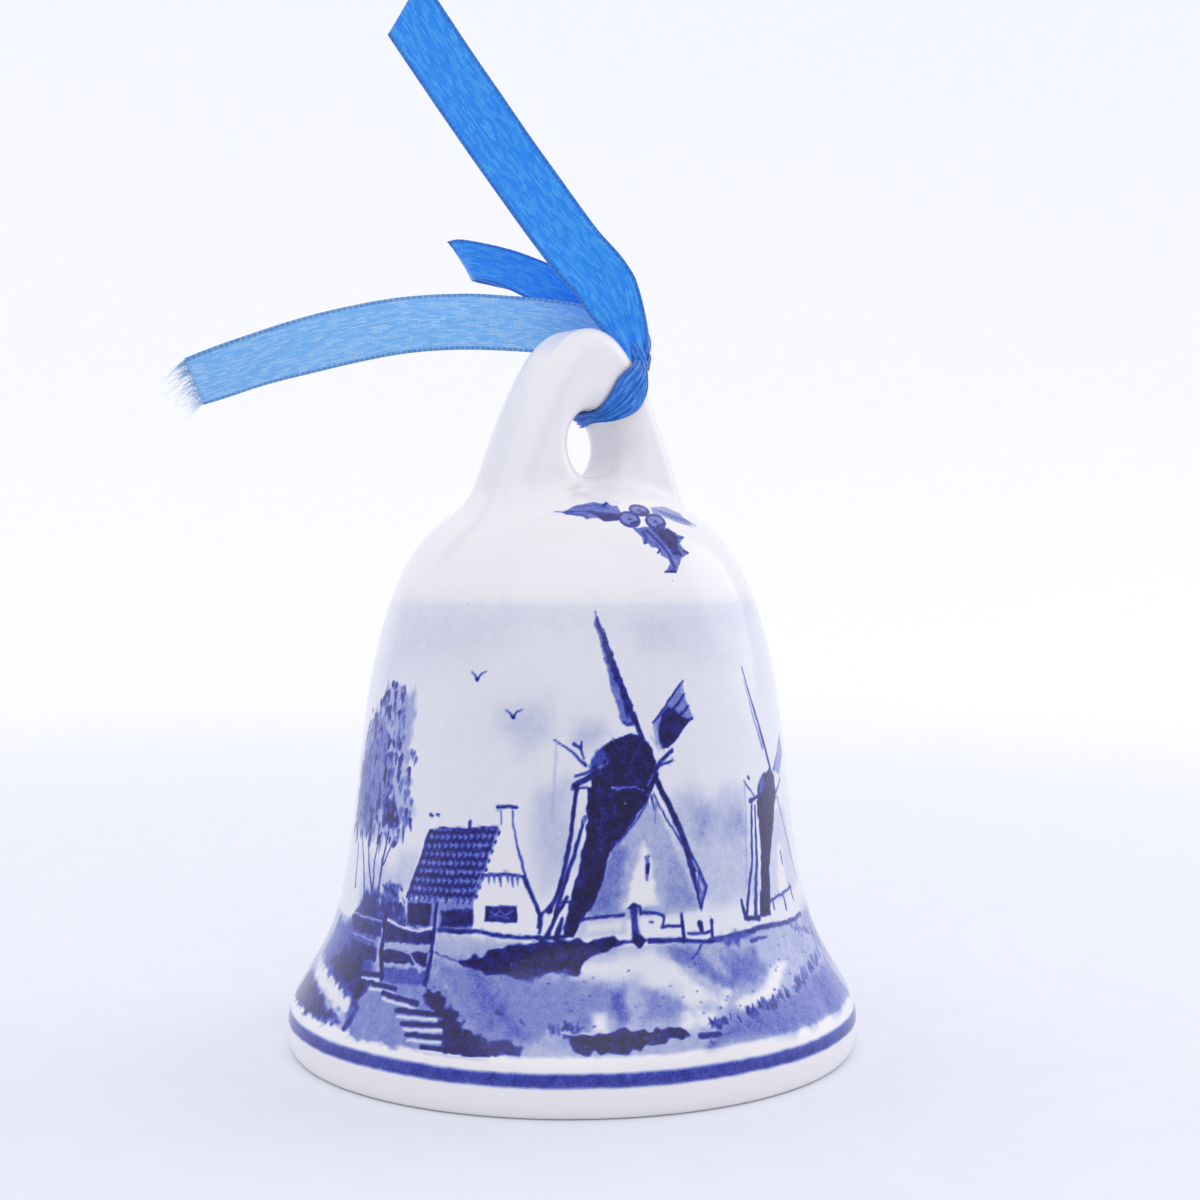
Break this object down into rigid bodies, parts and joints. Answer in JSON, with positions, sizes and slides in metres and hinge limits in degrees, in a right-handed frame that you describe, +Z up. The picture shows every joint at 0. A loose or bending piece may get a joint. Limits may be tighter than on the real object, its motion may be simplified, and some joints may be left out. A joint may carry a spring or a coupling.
{
  "type": "porcelain bell",
  "caption": "Small glazed porcelain hand bell with a blue painted landscape, a moulded loop handle, a hanging clapper and a satin ribbon.",
  "frame": {"origin": "centre of the foot ring, on the surface that the bell stands on", "axes": "+Z up along the bell's axis, +X along the width of the handle's loop, +Y through the loop's hole"},
  "size_m": [0.0614, 0.0592, 0.1104],
  "materials": {
    "porcelain": "white glazed porcelain with cobalt in-glaze painting",
    "bead_porcelain": "plain white glazed porcelain",
    "cement": "matt cast plaster cement",
    "steel_wire": "drawn bright wire",
    "brass": "drawn tube, crimped",
    "satin_ribbon": "bright blue polyester satin, woven edges"
  },
  "bodies": {
    "bell": {"bell_body": "porcelain", "crown_plug": "cement", "staple": "steel_wire", "ribbon_wrap": "satin_ribbon", "ribbon_knot": "satin_ribbon", "ribbon_tail_up": "satin_ribbon", "ribbon_tail_side": "satin_ribbon", "ribbon_back_loop": "satin_ribbon"},
    "link": {"hanger_link": "steel_wire"},
    "clapper": {"clapper_stem": "steel_wire", "clapper_bead": "bead_porcelain", "clapper_ferrule": "brass"}
  },
  "joints": [
    {"name": "link_swing", "type": "hinge", "parent": "bell", "child": "link", "pos_m": [0, 0, 0.0479], "axis": [1, 0, 0], "range_deg": [-18, 18]},
    {"name": "clapper_swing", "type": "hinge", "parent": "link", "child": "clapper", "pos_m": [0, 0, 0.0445], "axis": [0, 1, 0], "range_deg": [-18, 18]}
  ]
}
